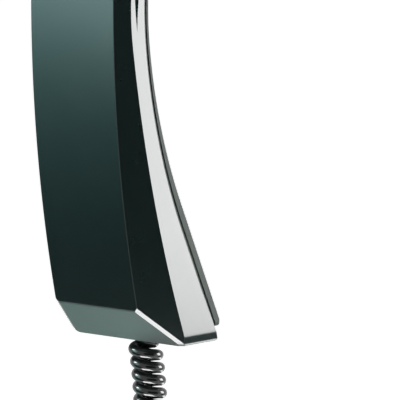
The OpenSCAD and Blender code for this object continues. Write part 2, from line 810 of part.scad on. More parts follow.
// free cord: straight out of the grommet, into the curls, and straight again into the plug
rings_per_curl = 8;
first_turn = 131.3;
ease_turn = 270;
ease_drop = curl_pitch * ease_turn / 360;
lean = 3;
lean_run = 15;
lean_to = 41.3;
straight_end = seat_z - cord_d;
curl_top = straight_end - ease_drop;
coil_steps = curls * rings_per_curl;
ease_steps = ease_turn * rings_per_curl / 360;
curl_end = curl_top - curls * curl_pitch;
tail_top = curl_end - ease_drop;
tail_end = tail_top - tail_l;
function axis_at(z) = let (s = lean * (1 - exp(min(0, z - straight_end) / lean_run)))
    [s * cos(lean_to), cord_y + s * sin(lean_to), z];
function around(turn) = [cos(turn), sin(turn), 0];
start_turn = first_turn - ease_turn;
last_turn = first_turn + curls * 360;
cord_path = concat(
    [[axis_at(seat_z), around(start_turn)]],
    [for (i = [0 : ease_steps - 1]) let (t = i / ease_steps, turn = start_turn + ease_turn * t)
        [axis_at(straight_end - ease_drop * t) + curl_r * smooth(t) * around(turn), around(turn)]],
    [for (i = [0 : coil_steps]) let (turn = first_turn + 360 * i / rings_per_curl)
        [axis_at(curl_top - curl_pitch * i / rings_per_curl) + curl_r * around(turn), around(turn)]],
    [for (i = [1 : ease_steps]) let (t = i / ease_steps, turn = last_turn + ease_turn * t)
        [axis_at(curl_end - ease_drop * t) + curl_r * smooth(1 - t) * around(turn), around(turn)]],
    [for (i = [1 : 3]) [axis_at(tail_top - tail_l * i / 3), around(last_turn + ease_turn)]]);
cord_points = [for (p = cord_path) p[0]];
count = len(cord_path);
cord_gap = min([for (i = [0 : count - 6]) for (j = [i + 5 : min(i + 12, count - 1)])
    norm(cord_points[i] - cord_points[j])]) - cord_d;
echo(least_gap_of_the_cord_to_itself = cord_gap);

module curly_cord() {
    sides = 6;
    rings = [for (i = [0 : count - 1]) let (
        along = i == 0 || i == 1 || i >= count - 3 ? [0, 0, -1] : ahead(cord_points, i))
        ring(cord_points[i], along, cord_path[i][1], cord_d / 2, sides)];
    color([0.02, 0.02, 0.02]) place() skin(rings);
}

// Plug, hanging from the cord's end with its nose down

plug_at = axis_at(tail_end);
contact_x = [-1.5, -0.5, 0.5, 1.5] * 1.02;
contact_t = 0.35;
contact_d = 2;
contact_h = 4.8;
latch_w = 3.2;
latch_t = 0.9;
latch_l = plug_l * 0.86;

module plug_body() {
    nose_h = 1.5;
    nose_cut = 0.7;
    way_h = 6.2;
    window = 2;
    latch_room = 0.4;
    color([0.75, 0.77, 0.78]) place() translate(plug_at) difference() {
        translate([-plug_w / 2, -plug_t / 2, -plug_l]) cube([plug_w, plug_t, plug_l]);
        for (s = [-1, 1]) translate([s * plug_w / 2, -far / 2, -plug_l])
            rotate([0, 45, 0]) translate([-nose_cut / 2, 0, -nose_cut / 2])
                cube([nose_cut, far, nose_cut]);
        for (x = contact_x) translate([x - contact_t / 2 - shaft_gap, plug_t / 2 - contact_d, -plug_l - 1])
            cube([contact_t + 2 * shaft_gap, 2 * contact_d, way_h]);
        translate([-plug_w / 2 + 1, plug_t / 2 - window / 2, -plug_l * 0.45])
            cube([plug_w - 2, window, window]);
        translate([-latch_w / 2 - latch_room, -plug_t / 2 - 1, -plug_l + nose_h])
            cube([latch_w + 2 * latch_room, 1 + latch_room, window]);
    }
}

module plug_contacts() {
    color([0.8, 0.6, 0.2]) place() translate(plug_at) for (x = contact_x)
        translate([x - contact_t / 2, plug_t / 2 - contact_d, -plug_l + fit])
            cube([contact_t, contact_d - 0.5, contact_h]);
}

// latch lever with a round root at the nose, standing off the plug towards the cord
module plug_latch() {
    root_z = 0.4;
    shoulder_w = 1;
    shoulder_h = 3;
    color([0.75, 0.77, 0.78]) place() translate(plug_at)
        translate([0, -plug_t / 2 - fit - latch_t / 2, root_z - plug_l]) rotate([latch_angle, 0, 0]) {
            translate([-latch_w / 2, 0, 0]) rotate([0, 90, 0]) cylinder(h = latch_w, r = latch_t / 2);
            translate([-latch_w / 2, -latch_t / 2, 0]) cube([latch_w, latch_t, latch_l]);
            translate([-latch_w / 2 - shoulder_w, -latch_t / 2, latch_t])
                cube([latch_w + 2 * shoulder_w, latch_t, shoulder_h]);
        }
}

outer_shell();
inner_cover();
receiver_screen();
receiver_gasket();
receiver_cup();
receiver_yoke();
receiver_magnet();
receiver_pole();
receiver_cone();
receiver_coil();
microphone_boot();
microphone_can();
balance_weight();
wiring_board();
board_screws();
terminal_block();
cord_clamp();
clamp_screws();
cover_screws();
cord_grommet();
cord_lead();
lead_wires();
receiver_wires();
microphone_wires();
curly_cord();
plug_body();
plug_contacts();
plug_latch();
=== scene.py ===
# %% [markdown]
# # An intercom handset on a curly cord
# The handset is a moulded black housing with a bowed outer face, faceted sides and slanted ends. A satin
# cover closes its ear side, and a curly cord hangs from its mouth end. The exact solids are already in the
# frame. This lesson gives four of them a finer skin and all of them a finish: camera and cord first, then
# the finishes, the two mouldings with their screws, and the studio last.

import json
import math

import bmesh
import bpy
from mathutils import Matrix, Vector


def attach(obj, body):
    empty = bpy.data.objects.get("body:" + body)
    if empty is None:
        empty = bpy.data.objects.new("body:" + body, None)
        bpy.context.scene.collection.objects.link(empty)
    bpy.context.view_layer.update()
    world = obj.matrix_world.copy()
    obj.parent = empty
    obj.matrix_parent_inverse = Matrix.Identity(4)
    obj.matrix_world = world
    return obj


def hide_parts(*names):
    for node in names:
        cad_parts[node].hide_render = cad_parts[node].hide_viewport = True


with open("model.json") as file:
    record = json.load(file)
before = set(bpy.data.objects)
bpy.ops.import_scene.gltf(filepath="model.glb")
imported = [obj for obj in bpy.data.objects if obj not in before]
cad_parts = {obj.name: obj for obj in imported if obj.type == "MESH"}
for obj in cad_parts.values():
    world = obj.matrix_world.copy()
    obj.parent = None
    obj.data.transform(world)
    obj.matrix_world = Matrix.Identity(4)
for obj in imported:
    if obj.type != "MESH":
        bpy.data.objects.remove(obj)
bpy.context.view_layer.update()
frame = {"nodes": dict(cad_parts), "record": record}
scene = bpy.context.scene
scene.view_settings.view_transform = "Standard"
print("solids in the frame:", len(frame["nodes"]))

# %% [markdown]
# ## The handset's own measures
# Everything below is drawn in millimetres from the middle of the handset, as on a drawing sheet. Its long
# edges are bows: an arc about the middle that runs on straight to both ends. The frame's origin is the mouth
# of the hanging slot, so each finished mesh is moved there and scaled to metres at the end.

# %% Sizes on the drawing sheet
LENGTH = 212.0
HALF_LENGTH = LENGTH / 2
FACE_HALF = 17.5
FACE_RADIUS = 425.0
RIM_DEPTH = 11.2
RIM_RADIUS = 175.0
BACK_DEPTH = 14.7
BACK_RADIUS = 154.0
BACK_ANGLE = math.radians(23.4)
BACK_CREASE = math.radians(0.5)
WAIST_HALF = 20.2
WAIST_RADIUS = 300.0
WIDENING = 8.4
FLARE = math.atan(WIDENING / LENGTH)
SLOT_Z = 51.0
MILLIMETRE = 0.001


def bow(z, middle, radius, angle, crease=0.0):
    """An arc about the middle that runs on straight at an angle. The slope drops by crease between them."""
    turn = angle + crease
    meet = radius * math.sin(turn)
    reach = abs(z)
    if reach < meet:
        return middle + radius - math.sqrt(radius * radius - reach * reach)
    return middle + radius * (1 - math.cos(turn)) + (reach - meet) * math.tan(angle)


def face_y(z):
    return FACE_RADIUS - math.sqrt(FACE_RADIUS**2 - z * z)


def rim_y(z, lift=0.0):
    return bow(z, RIM_DEPTH + lift, RIM_RADIUS - lift, BACK_ANGLE, BACK_CREASE)


def back_y(z, sink=0.0):
    return bow(z, BACK_DEPTH - sink, BACK_RADIUS + sink, BACK_ANGLE, BACK_CREASE)


def half_width(z):
    return bow(z, WAIST_HALF, WAIST_RADIUS, FLARE)


SLOT_Y = back_y(SLOT_Z)
TO_FRAME = Matrix.Scale(MILLIMETRE, 4) @ Matrix.Translation((0.0, -SLOT_Y, -SLOT_Z))


def in_frame(x, y, z):
    return TO_FRAME @ Vector((x, y, z))


print("ear end rim at", round(rim_y(HALF_LENGTH), 2), "mm behind the outer face")

# %% [markdown]
# ## The camera
# The photograph is taken from the right of the outer face, a little above it, with a long lens. The angle,
# the distance and the lens come from fitting the handset's long edges, whose bows and slopes fix all three.

# %% Camera at the photograph's viewing angle
VIEW_TURN = math.radians(41.3)
VIEW_RISE = math.radians(6.53)
VIEW_DISTANCE = 945.0
AIM_RIGHT = 39.45
AIM_BELOW = 58.94
PIXELS_PER_RADIAN = 3075.65
FRAME_PIXELS = 400.0
SENSOR = 36.0

ahead = Vector(
    (
        -math.sin(VIEW_TURN) * math.cos(VIEW_RISE),
        math.cos(VIEW_TURN) * math.cos(VIEW_RISE),
        -math.sin(VIEW_RISE),
    )
)
right = Vector((math.cos(VIEW_TURN), math.sin(VIEW_TURN), 0.0))
above = right.cross(ahead)
aim = right * AIM_RIGHT - above * AIM_BELOW
eye = aim - ahead * VIEW_DISTANCE

lens = bpy.data.cameras.new("view")
lens.sensor_width = SENSOR
lens.lens = PIXELS_PER_RADIAN / FRAME_PIXELS * SENSOR
lens.clip_start = 0.02
camera = bpy.data.objects.new("view", lens)
turn = Matrix((right, above, -ahead)).transposed().to_4x4()
camera.matrix_world = Matrix.Translation(in_frame(*eye)) @ turn
scene.collection.objects.link(camera)
scene.camera = camera
print("lens", round(lens.lens, 1), "mm, eye at", [round(c, 3) for c in camera.location])

# %% [markdown]
# ## The curly cord
# A handset cord is a straight black cable wound on a rod and heated, so it keeps its curls. It leaves the
# grommet straight, swells into the first curl, and comes back to the middle above the plug. The route is one
# formula; a tube swept along it is lighter than a screw modifier and lets the first turn grow smoothly.

# %% Route of the cord
CORD_DIAMETER = 3.6
CORD_FROM_RIM = 9.1
SEAT_CLEARANCE = 0.3
CURL_RADIUS = 3.75
CURL_PITCH = 4.1
CURLS = 30
STEPS_PER_CURL = 40
EASE_TURN = 270.0
FIRST_TURN = 131.3
START_STEPS = 4
TAIL = 20.0
TAIL_STEPS = 8
LEAN = 3.0
LEAN_RUN = 15.0
cord_y = rim_y(HALF_LENGTH) - CORD_FROM_RIM
grommet_seat = -HALF_LENGTH + CORD_DIAMETER + SEAT_CLEARANCE
straight_end = grommet_seat - CORD_DIAMETER
whole_turn = 2 * EASE_TURN + 360.0 * CURLS
step_turn = 360.0 / STEPS_PER_CURL


def cord_axis(z):
    """Middle of the curls, which leans a little to the right of the view as it goes down."""
    drift = LEAN * (1 - math.exp(min(0.0, z - straight_end) / LEAN_RUN))
    return Vector((drift * math.cos(VIEW_TURN), cord_y + drift * math.sin(VIEW_TURN), z))


def swell(t):
    return t * t * (3 - 2 * t)


def cord_point(turned_by):
    """Point of the cord after that many degrees from the end of its straight start."""
    z = straight_end - CURL_PITCH * turned_by / 360.0
    grown = swell(min(1.0, turned_by / EASE_TURN, (whole_turn - turned_by) / EASE_TURN))
    a = math.radians(FIRST_TURN - EASE_TURN + turned_by)
    return cord_axis(z) + Vector((math.cos(a), math.sin(a), 0.0)) * (CURL_RADIUS * grown)


start_drop = straight_end - grommet_seat
tail_top = straight_end - CURL_PITCH * whole_turn / 360.0
cord_route = [cord_axis(grommet_seat + start_drop * k / START_STEPS) for k in range(START_STEPS)]
cord_route += [cord_point(step_turn * k) for k in range(round(whole_turn / step_turn) + 1)]
cord_route += [cord_axis(tail_top - TAIL * k / TAIL_STEPS) for k in range(1, TAIL_STEPS + 1)]


# %% A skin over rings of points, and a tube made of them
def face_outwards(mesh):
    work = bmesh.new()
    work.from_mesh(mesh)
    bmesh.ops.recalc_face_normals(work, faces=work.faces)
    work.to_mesh(mesh)
    work.free()


def add_mesh(name, points, faces):
    mesh = bpy.data.meshes.new(name)
    mesh.from_pydata([tuple(p) for p in points], [], faces)
    mesh.validate()
    piece = bpy.data.objects.new(name, mesh)
    scene.collection.objects.link(piece)
    face_outwards(mesh)
    return piece


def join_rings(name, rings):
    """A closed skin over rings that all have the same number of points."""
    count = len(rings[0])
    points = [p for ring in rings for p in ring]
    faces = []
    for start in range(0, len(points) - count, count):
        for k in range(count):
            a, b = start + k, start + (k + 1) % count
            faces.append((a, b, b + count, a + count))
    faces.append(tuple(range(count)))
    faces.append(tuple(range(len(points) - 1, len(points) - count - 1, -1)))
    return add_mesh(name, points, faces)


def angles(sides):
    return [2 * math.pi * k / sides for k in range(sides)]


def tube(name, route, radius, sides):
    """A round tube along a route, whose rings turn no more than the route makes them."""
    rings = []
    last = len(route) - 1
    guide = Vector((1.0, 0.0, 0.0))
    for i, centre in enumerate(route):
        along = (route[min(i + 1, last)] - route[max(i - 1, 0)]).normalized()
        guide = (guide - along * guide.dot(along)).normalized()
        side = along.cross(guide)
        ring = []
        for a in angles(sides):
            ring.append(centre + guide * (radius * math.cos(a)) + side * (radius * math.sin(a)))
        rings.append(ring)
    return join_rings(name, rings)


CORD_SIDES = 16
cord = tube("handset_cord", cord_route, CORD_DIAMETER / 2, CORD_SIDES)
print("cord faces", len(cord.data.polygons))

# %% The cord into the frame
cord.data.transform(TO_FRAME)
cord.data.shade_smooth()
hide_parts("curly_cord")
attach(cord, "handset")
print("cord leaves the grommet at", [round(c, 4) for c in in_frame(*cord_route[0])])

# %% [markdown]
# ## Shared effects
# Two effects turn up on nearly every finish: the fine grain that a mould or a tool leaves, and a trace of
# dust and handling that shifts the gloss in patches. Each is one node group, placed with its own numbers.


# %% Grain group
def link(tree, start, start_name, end, end_name):
    tree.links.new(start.outputs[start_name], end.inputs[end_name])


def effect_group(name, inputs, outputs):
    group = bpy.data.node_groups.new(name, "ShaderNodeTree")
    for label, value in inputs:
        socket = group.interface.new_socket(label, in_out="INPUT", socket_type="NodeSocketFloat")
        socket.default_value = value
    for label in outputs:
        group.interface.new_socket(label, in_out="OUTPUT", socket_type="NodeSocketFloat")
    return group, group.nodes.new("NodeGroupInput"), group.nodes.new("NodeGroupOutput")


def grain_group():
    inputs = [("Scale", 4000.0), ("Coarse Scale", 300.0)]
    group, given, made = effect_group("fine grain", inputs, ["Height", "Patches"])
    place = group.nodes.new("ShaderNodeTexCoord")
    for scale, detail, label in (("Scale", 3.0, "Height"), ("Coarse Scale", 5.0, "Patches")):
        noise = group.nodes.new("ShaderNodeTexNoise")
        noise.inputs["Detail"].default_value = detail
        link(group, place, "Object", noise, "Vector")
        link(group, given, scale, noise, "Scale")
        link(group, noise, 0, made, label)
    return group


GRAIN = grain_group()
print("effect group", GRAIN.name)


# %% Handling group
def handling_group():
    group, given, made = effect_group("handling", [("Scale", 60.0), ("Amount", 0.5)], ["Smudge"])
    place = group.nodes.new("ShaderNodeTexCoord")
    cloud = group.nodes.new("ShaderNodeTexNoise")
    cloud.inputs["Detail"].default_value = 6.0
    cloud.inputs["Roughness"].default_value = 0.62
    ramp = group.nodes.new("ShaderNodeMapRange")
    ramp.inputs["From Min"].default_value = 0.45
    ramp.inputs["From Max"].default_value = 0.75
    link(group, place, "Object", cloud, "Vector")
    link(group, given, "Scale", cloud, "Scale")
    link(group, cloud, 0, ramp, "Value")
    link(group, given, "Amount", ramp, "To Max")
    link(group, ramp, 0, made, "Smudge")
    return group


HANDLING = handling_group()
print("effect group", HANDLING.name)

# %% [markdown]
# ## Finishes
# One recipe covers most finishes: two close colours mixed by the patches, a roughness that drifts with
# handling, and a bump from the grain. What sets a finish apart is its numbers; the housing and the cloth
# add a few nodes of their own.

# %% The common recipe
COARSER = 12
SMUDGE = 0.5
finishes = {}


def finish(name, light, dark, rough, drift, grain, depth, metallic=0.0, **sockets):
    material = bpy.data.materials.new(name)
    material.use_nodes = True
    tree = material.node_tree
    shader = tree.nodes["Principled BSDF"]
    shader.inputs["Metallic"].default_value = metallic
    for label, value in sockets.items():
        shader.inputs[label.replace("_", " ").title().replace("Ior", "IOR")].default_value = value
    texture = tree.nodes.new("ShaderNodeGroup")
    texture.node_tree = GRAIN
    texture.inputs["Scale"].default_value = grain
    texture.inputs["Coarse Scale"].default_value = grain / COARSER
    touch = tree.nodes.new("ShaderNodeGroup")
    touch.node_tree = HANDLING
    touch.inputs["Amount"].default_value = SMUDGE
    blend = tree.nodes.new("ShaderNodeMix")
    blend.data_type = "RGBA"
    blend.inputs["A"].default_value = (*dark, 1.0)
    blend.inputs["B"].default_value = (*light, 1.0)
    link(tree, texture, "Patches", blend, "Factor")
    link(tree, blend, "Result", shader, "Base Color")
    gloss = tree.nodes.new("ShaderNodeMapRange")
    gloss.inputs["To Min"].default_value = rough
    gloss.inputs["To Max"].default_value = rough + drift
    link(tree, touch, "Smudge", gloss, "Value")
    link(tree, gloss, 0, shader, "Roughness")
    bump = tree.nodes.new("ShaderNodeBump")
    bump.inputs["Strength"].default_value = 0.6
    bump.inputs["Distance"].default_value = depth
    link(tree, texture, "Height", bump, "Height")
    link(tree, bump, 0, shader, "Normal")
    return material


finishes["housing"] = finish(
    "polished housing", (0.007, 0.018, 0.0168), (0.005, 0.0135, 0.0124),
    rough=0.2, drift=0.04, grain=2600.0, depth=0.000004, ior=1.47,
)
print("nodes in one finish", len(finishes["housing"].node_tree.nodes))

# %% Cover, cord and inner plastics
finishes["cover"] = finish(
    "satin cover", (0.021, 0.038, 0.028), (0.015, 0.028, 0.021),
    rough=0.55, drift=0.08, grain=3800.0, depth=0.00002, ior=1.36,
)
finishes["cord"] = finish(
    "glossy cord", (0.012, 0.015, 0.014), (0.007, 0.009, 0.0085),
    rough=0.13, drift=0.08, grain=1800.0, depth=0.000006, ior=1.5,
)
finishes["rubber"] = finish(
    "grommet rubber", (0.02, 0.02, 0.021), (0.011, 0.011, 0.012),
    rough=0.62, drift=0.12, grain=2400.0, depth=0.00002,
)
finishes["foam"] = finish(
    "open foam", (0.06, 0.06, 0.062), (0.02, 0.02, 0.021),
    rough=0.9, drift=0.05, grain=1500.0, depth=0.0003,
)
finishes["inner_plastic"] = finish(
    "inner moulding", (0.05, 0.05, 0.053), (0.035, 0.035, 0.038),
    rough=0.5, drift=0.1, grain=3000.0, depth=0.00001,
)
finishes["terminal"] = finish(
    "terminal plastic", (0.07, 0.26, 0.19), (0.05, 0.2, 0.14),
    rough=0.34, drift=0.1, grain=2400.0, depth=0.000008,
)
finishes["board"] = finish(
    "solder resist", (0.035, 0.19, 0.08), (0.02, 0.13, 0.05),
    rough=0.3, drift=0.12, grain=900.0, depth=0.00002,
)
finishes["cone"] = finish(
    "pressed film", (0.72, 0.69, 0.6), (0.6, 0.57, 0.48),
    rough=0.55, drift=0.12, grain=1600.0, depth=0.00003,
)
for shade, light, dark in (
    ("red", (0.5, 0.05, 0.04), (0.38, 0.03, 0.03)),
    ("yellow", (0.62, 0.48, 0.05), (0.5, 0.37, 0.03)),
    ("blue", (0.05, 0.11, 0.5), (0.03, 0.07, 0.36)),
):
    finishes["wire_" + shade] = finish(
        shade + " wire", light, dark, rough=0.32, drift=0.1, grain=1600.0, depth=0.000006
    )
print("plastic finishes", len(finishes))

# %% [markdown]
# The housing is polished all over, but its slanted ends come out of the mould a little duller. They are the
# only faces that look steeply up or down, so the surface's own direction tells where to add roughness.

# %% Duller ends
ENDS_DULLER = 0.22


def satin_ends(material, extra):
    """Make faces that look up or down less glossy by adding to the roughness there."""
    tree = material.node_tree
    place = tree.nodes.new("ShaderNodeTexCoord")
    parts = tree.nodes.new("ShaderNodeSeparateXYZ")
    link(tree, place, "Normal", parts, 0)
    steep = tree.nodes.new("ShaderNodeMath")
    steep.operation = "ABSOLUTE"
    link(tree, parts, "Z", steep, 0)
    mask = tree.nodes.new("ShaderNodeMapRange")
    mask.inputs["From Min"].default_value = 0.7
    mask.inputs["From Max"].default_value = 0.76
    mask.inputs["To Max"].default_value = extra
    link(tree, steep, 0, mask, "Value")
    total = tree.nodes.new("ShaderNodeMath")
    rough = tree.nodes["Principled BSDF"].inputs["Roughness"]
    tree.links.new(rough.links[0].from_socket, total.inputs[0])
    link(tree, mask, 0, total, 1)
    tree.links.new(total.outputs[0], rough)


satin_ends(finishes["housing"], ENDS_DULLER)
print("ends of the housing rougher by", ENDS_DULLER)

# %% Metals and clear plastic
finishes["steel"] = finish(
    "zinc plated steel", (0.6, 0.6, 0.61), (0.45, 0.45, 0.46),
    rough=0.26, drift=0.16, grain=2200.0, depth=0.000008, metallic=1.0,
)
finishes["magnet"] = finish(
    "sintered magnet", (0.13, 0.13, 0.14), (0.08, 0.08, 0.085),
    rough=0.5, drift=0.1, grain=1800.0, depth=0.00003,
)
finishes["copper"] = finish(
    "enamelled winding", (0.72, 0.36, 0.19), (0.55, 0.24, 0.11),
    rough=0.24, drift=0.1, grain=2600.0, depth=0.00002, metallic=1.0,
)
finishes["can"] = finish(
    "drawn aluminium", (0.74, 0.75, 0.76), (0.62, 0.63, 0.64),
    rough=0.3, drift=0.12, grain=1600.0, depth=0.00001, metallic=1.0,
)
finishes["weight"] = finish(
    "raw steel bar", (0.36, 0.36, 0.37), (0.24, 0.23, 0.23),
    rough=0.42, drift=0.16, grain=700.0, depth=0.00003, metallic=1.0,
)
finishes["gold"] = finish(
    "gold plated contact", (0.83, 0.62, 0.24), (0.74, 0.52, 0.18),
    rough=0.2, drift=0.08, grain=2400.0, depth=0.000004, metallic=1.0,
)
finishes["clear"] = finish(
    "clear polycarbonate", (0.6, 0.65, 0.67), (0.54, 0.6, 0.62),
    rough=0.1, drift=0.06, grain=1400.0, depth=0.000004, transmission_weight=0.8, ior=1.58,
)
print("finishes with metals and clear plastic", len(finishes))

# %% [markdown]
# The cloth behind the ear holes is a plain weave. Two sets of waves cross, and whichever thread is higher
# shows, which is all that can be seen of a weave through holes of two millimetres. The same height also mixes
# the cloth's two colours: a painted highlight on the higher thread and painted shade between the threads.

# %% Woven cloth
THREAD_SCALE = 700.0
THREAD_HEIGHT = 0.0001


def woven_cloth():
    material = finish(
        "receiver cloth", (0.05, 0.05, 0.052), (0.03, 0.03, 0.032),
        rough=0.85, drift=0.05, grain=2000.0, depth=THREAD_HEIGHT,
    )
    tree = material.node_tree
    place = tree.nodes.new("ShaderNodeTexCoord")
    crossing = tree.nodes.new("ShaderNodeMath")
    crossing.operation = "MAXIMUM"
    for k, direction in enumerate(("X", "Z")):
        wave = tree.nodes.new("ShaderNodeTexWave")
        wave.bands_direction = direction
        wave.inputs["Scale"].default_value = THREAD_SCALE
        link(tree, place, "Object", wave, "Vector")
        link(tree, wave, "Fac", crossing, k)
    # The height also picks the colour: painted highlight on the thread tops, painted shade between them.
    for kind, label in (("ShaderNodeBump", "Height"), ("ShaderNodeMix", "Factor")):
        node = next(n for n in tree.nodes if n.bl_idname == kind)
        link(tree, crossing, 0, node, label)
    return material


finishes["cloth"] = woven_cloth()
print("finishes in all", len(finishes))

# %% [markdown]
# ## The housing
# On the real object this is one injection moulding: the outer face is part of a large drum, the facets beside
# it are parts of a cone on the same axis, and the ends are cut off at a slant. A bevel modifier trips over
# the ends, where five faces meet in a few millimetres. So the skin is lofted instead: at each height the
# section is an outline whose corners are rounded in the drawing, and the sections are joined up.

# %% Front and sides of a section
FACET_ANGLE = math.radians(28.3)
FACET_SLOPE = math.tan(FACET_ANGLE)
SLANT_DEPTH = 14.9
SLANT_RISE = 12.1
SLANT_SLOPE = SLANT_RISE / SLANT_DEPTH
SLANT_Z = HALF_LENGTH - SLANT_RISE
SLANT_Y = face_y(SLANT_Z)
SLANT_ROUND = 0.6
FACE_SOFTNESS = 0.25
FOOT_TALL = 3.1
FOOT_DEEP = 0.8
FOOT_SOFTNESS = 0.3
END_ROUND = 1.2


def soft_max(a, b, softness):
    """The larger of two values, with a smooth change from one to the other."""
    return (a + b + math.hypot(a - b, softness)) / 2


def slant_y(z):
    """Depth of the slanted end, rounded where it runs into the end flat."""
    lean = math.hypot(1.0, SLANT_SLOPE)
    foot_y = SLANT_Y + ((SLANT_RISE - SLANT_ROUND) / lean + SLANT_ROUND) * lean / SLANT_SLOPE
    foot_z = HALF_LENGTH - SLANT_ROUND
    if abs(z) > foot_z + SLANT_ROUND / lean:
        return foot_y - math.sqrt(max(0.0, SLANT_ROUND**2 - (abs(z) - foot_z) ** 2))
    return SLANT_Y + (abs(z) - SLANT_Z) / SLANT_SLOPE


def front_y(z):
    return soft_max(face_y(z), slant_y(z), FACE_SOFTNESS)


def side_x(z):
    """Half width of the section, with a shallow chamfer at the foot of the wall and a round below it."""
    drawn_in = soft_max(abs(z) - (HALF_LENGTH - FOOT_TALL), 0.0, FOOT_SOFTNESS) * FOOT_DEEP / FOOT_TALL
    last = max(0.0, abs(z) - (HALF_LENGTH - END_ROUND))
    return half_width(z) - drawn_in - END_ROUND + math.sqrt(max(0.0, END_ROUND**2 - last * last))


def facet_x(y, z):
    return FACE_HALF + FACET_SLOPE * (FACE_RADIUS - math.hypot(FACE_RADIUS - y, z))


def facet_back(x, z):
    around = FACE_RADIUS - (x - FACE_HALF) / FACET_SLOPE
    return FACE_RADIUS - math.sqrt(around * around - z * z)


print("slanted ends start", round(SLANT_Z, 1), "mm from the middle")

# %% The whole section, with its corners rounded
SEAM = 0.5
RIM_RISE_FROM = 88.0
RIM_ROUND = 0.25
CREASE_ROUND = 0.12
CHAMFER_ROUND = 0.2
FACE_CHAMFER = 0.15
SLANT_CHAMFER = 1.25
CHAMFER_RAMP = SLANT_CHAMFER * math.cos(FACET_ANGLE)
CHAMFER_SHARE = 0.85
LEAST_FACET_DEEP = 1.4
LEAST_FACET_WIDE = 0.15
ROUND_SHARE = 0.48
ROUND_STEPS = 3


def rounded(before, corner, after, radius):
    """Points of an arc that replaces a corner, kept inside half of each side."""
    u = (before - corner).normalized()
    v = (after - corner).normalized()
    half = u.angle(v) / 2
    shorter = min((before - corner).length, (after - corner).length)
    reach = min(radius / math.tan(half), ROUND_SHARE * shorter)
    start, end = corner + u * reach, corner + v * reach
    middle = corner + (u + v).normalized() * (reach / math.cos(half))
    bulge = (start - middle).length
    points = []
    for k in range(ROUND_STEPS + 1):
        chord = start.lerp(end, k / ROUND_STEPS)
        points.append(middle + (chord - middle).normalized() * bulge)
    return points


def section(z):
    """Right half of the outline at one height, from the rim round to the outer face."""
    rise = SEAM * max(0.0, (abs(z) - RIM_RISE_FROM) / (HALF_LENGTH - RIM_RISE_FROM))
    x, rim, front = side_x(z), rim_y(z, rise), front_y(z)
    back = max(facet_back(x, z), front + LEAST_FACET_DEEP)
    edge = min(facet_x(front, z), x - LEAST_FACET_WIDE)
    slanted = min(1.0, max(0.0, 1 + (slant_y(z) - face_y(z)) / CHAMFER_RAMP))
    size = FACE_CHAMFER + (SLANT_CHAMFER - FACE_CHAMFER) * slanted
    size = min(size, CHAMFER_SHARE * math.hypot(x - edge, back - front))
    crease = Vector((x, back))
    corner = Vector((edge, front))
    on_facet = corner + (crease - corner).normalized() * size
    on_front = corner - Vector((size, 0.0))
    bare = [Vector((0.0, rim)), Vector((x, rim)), crease, on_facet, on_front, Vector((0.0, front))]
    ring = []
    for k, radius in enumerate((RIM_ROUND, CREASE_ROUND, CHAMFER_ROUND, CHAMFER_ROUND)):
        ring += rounded(*bare[k : k + 3], radius)
    return ring


print("points in half a section", len(section(0.0)))

# %% Loft the skin over the sections
SLANT_LEAD = 2.0
FOOT_LEAD = 0.6
GRIP_SECTIONS = 46
SLANT_SECTIONS = 36
FOOT_SECTIONS = 14
ROUND_SECTIONS = 10


def stations(low, high, count):
    return [low + (high - low) * k / count for k in range(count)]


def loft(name, heights, half_outline):
    """A skin over half outlines, each with its mirror image, at rising heights."""
    rings = []
    for z in heights:
        half = half_outline(z)
        rings.append([(p.x, p.y, z) for p in half] + [(-p.x, p.y, z) for p in reversed(half)])
    return join_rings(name, rings)


slant_from = SLANT_Z - SLANT_LEAD
foot_from = HALF_LENGTH - FOOT_TALL - FOOT_LEAD
round_from = HALF_LENGTH - END_ROUND
upper = stations(0.0, slant_from, GRIP_SECTIONS)
upper += stations(slant_from, foot_from, SLANT_SECTIONS)
upper += stations(foot_from, round_from, FOOT_SECTIONS)
for k in range(ROUND_SECTIONS + 1):
    upper.append(round_from + END_ROUND * math.sin(math.radians(90 * k / ROUND_SECTIONS)))
skin_heights = [-z for z in reversed(upper[1:])] + upper
housing = loft("handset_housing", skin_heights, section)
print("skin faces", len(housing.data.polygons))

# %% [markdown]
# The moulding is an open shell, so a room is cut out behind its walls: one that is open at the back where the
# cover goes, and one that stays closed at the ends. Each tool for a cut reaches well past the skin wherever
# it has to break through, because faces that only touch leave slivers.

# %% Room inside the housing
WALL = 2.5
OPEN_END = 95.5
ROOM_SECTIONS = 40
LEAST_LEDGE = 0.5
FAR = 90.0


def settle(piece):
    """Turn a piece's modifiers into plain mesh."""
    bpy.context.view_layer.update()
    made = piece.evaluated_get(bpy.context.evaluated_depsgraph_get())
    mesh = bpy.data.meshes.new_from_object(made)
    piece.modifiers.clear()
    piece.data = mesh
    return piece


def combine(piece, tool, operation):
    step = piece.modifiers.new("combine", "BOOLEAN")
    step.operation = operation
    step.solver = "EXACT"
    step.object = tool
    settle(piece)
    bpy.data.objects.remove(tool)
    return piece


def cut(piece, tool):
    return combine(piece, tool, "DIFFERENCE")


def room(name, end, rim):
    def inside(z):
        front = max(face_y(z), slant_y(z)) + WALL
        x = half_width(z) - WALL
        near = min(facet_x(front, z) - WALL / math.cos(FACET_ANGLE), x - LEAST_LEDGE)
        back = max(facet_back(x + WALL, z) + WALL, front + LEAST_LEDGE)
        return [Vector((x, rim(z))), Vector((x, back)), Vector((near, front))]

    heights = [end * k / ROOM_SECTIONS for k in range(-ROOM_SECTIONS, ROOM_SECTIONS + 1)]
    return loft(name, heights, inside)


cut(housing, room("room behind the cover", OPEN_END, lambda z: FAR))
cut(housing, room("rooms in the ends", HALF_LENGTH - WALL, lambda z: rim_y(z, -WALL)))
print("faces of the hollow housing", len(housing.data.polygons))

# %% [markdown]
# A notch tapers out along each side wall, and the cord comes in through a round hole in the mouth end. The
# tool for a notch is a row of three-cornered rings, and its floor lies in the same slope as the facet.

